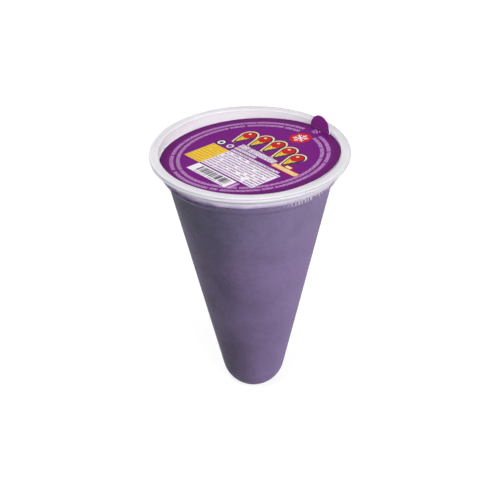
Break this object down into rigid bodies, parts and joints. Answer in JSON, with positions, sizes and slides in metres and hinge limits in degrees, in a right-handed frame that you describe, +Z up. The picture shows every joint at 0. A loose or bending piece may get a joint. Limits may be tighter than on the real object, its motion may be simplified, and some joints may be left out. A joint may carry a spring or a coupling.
{
  "type": "ice cream cup",
  "caption": "Tall cone-shaped plastic cup of ice cream with a rounded tip, a stepped rim and a round card lid with a folded-up pull tab.",
  "frame": {"origin": "centre of the small flat foot under the rounded tip", "axes": "+Z up along the cup's axis to the rim; the pull tab is at 35.5 degrees from +X towards +Y"},
  "size_m": [0.0698, 0.0698, 0.0974],
  "materials": {
    "cup_plastic": "thin translucent polypropylene, satin with a light frost",
    "ice_cream": "smooth frozen purple ice cream",
    "lid_card": "printed coated card"
  },
  "bodies": {
    "root": {"cup": "cup_plastic", "ice_cream": "ice_cream", "lid": "lid_card"}
  },
  "joints": []
}
